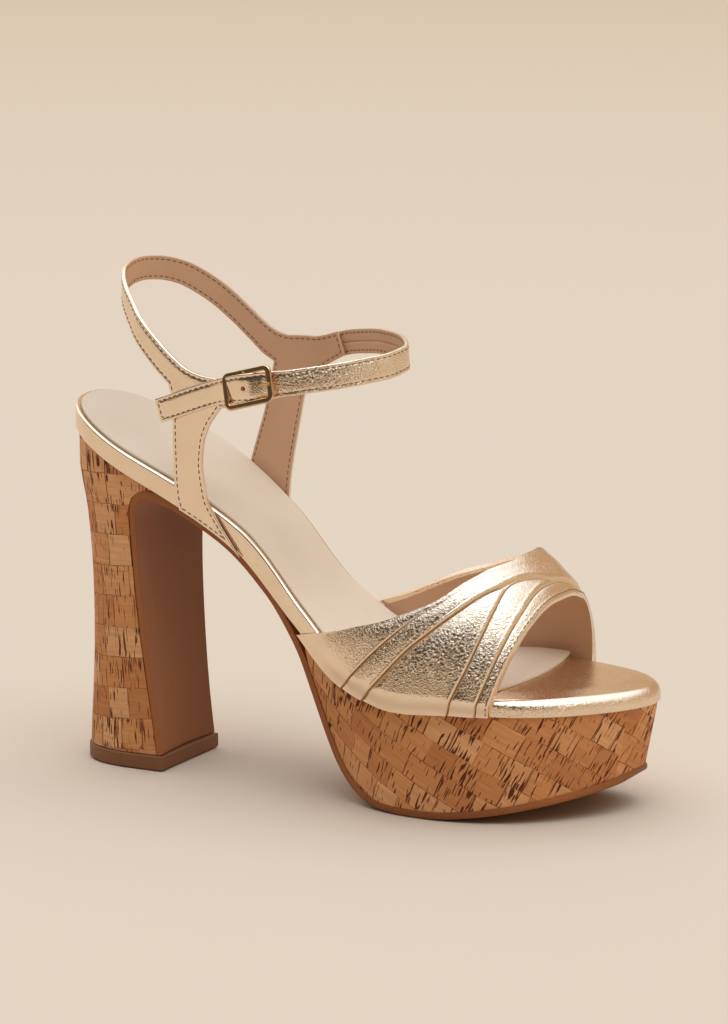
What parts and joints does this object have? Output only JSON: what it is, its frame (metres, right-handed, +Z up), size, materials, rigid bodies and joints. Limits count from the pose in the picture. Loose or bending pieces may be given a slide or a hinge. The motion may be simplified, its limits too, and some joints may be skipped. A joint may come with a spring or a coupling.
{
  "type": "block heel sandal",
  "caption": "Platform sandal with a block heel, crossed toe bands, a heel strap on two legs and a buckled ankle strap.",
  "frame": {"origin": "middle of the heel tip's face on the floor", "axes": "+X to the toe, +Y to the inner (medial) side of the foot, +Z up"},
  "size_m": [0.2171, 0.0853, 0.1814],
  "materials": {
    "gold_leather": "foil-finished leather, soft metallic gold with a fine crinkle",
    "lining": "smooth matt lining leather",
    "sole": "matt brown synthetic sole",
    "cork": "cork veneer with dark flecks, lightly waxed",
    "buckle": "polished pale gold plate"
  },
  "bodies": {
    "root": {"insole": "gold_leather", "sock": "lining", "outsole": "sole", "platform": "cork", "heel": "cork", "heel_tip": "sole", "vamp": "gold_leather", "quarter_strap": "gold_leather", "ankle_strap": "gold_leather", "buckle_frame": "buckle", "buckle_prong": "buckle"}
  },
  "joints": []
}
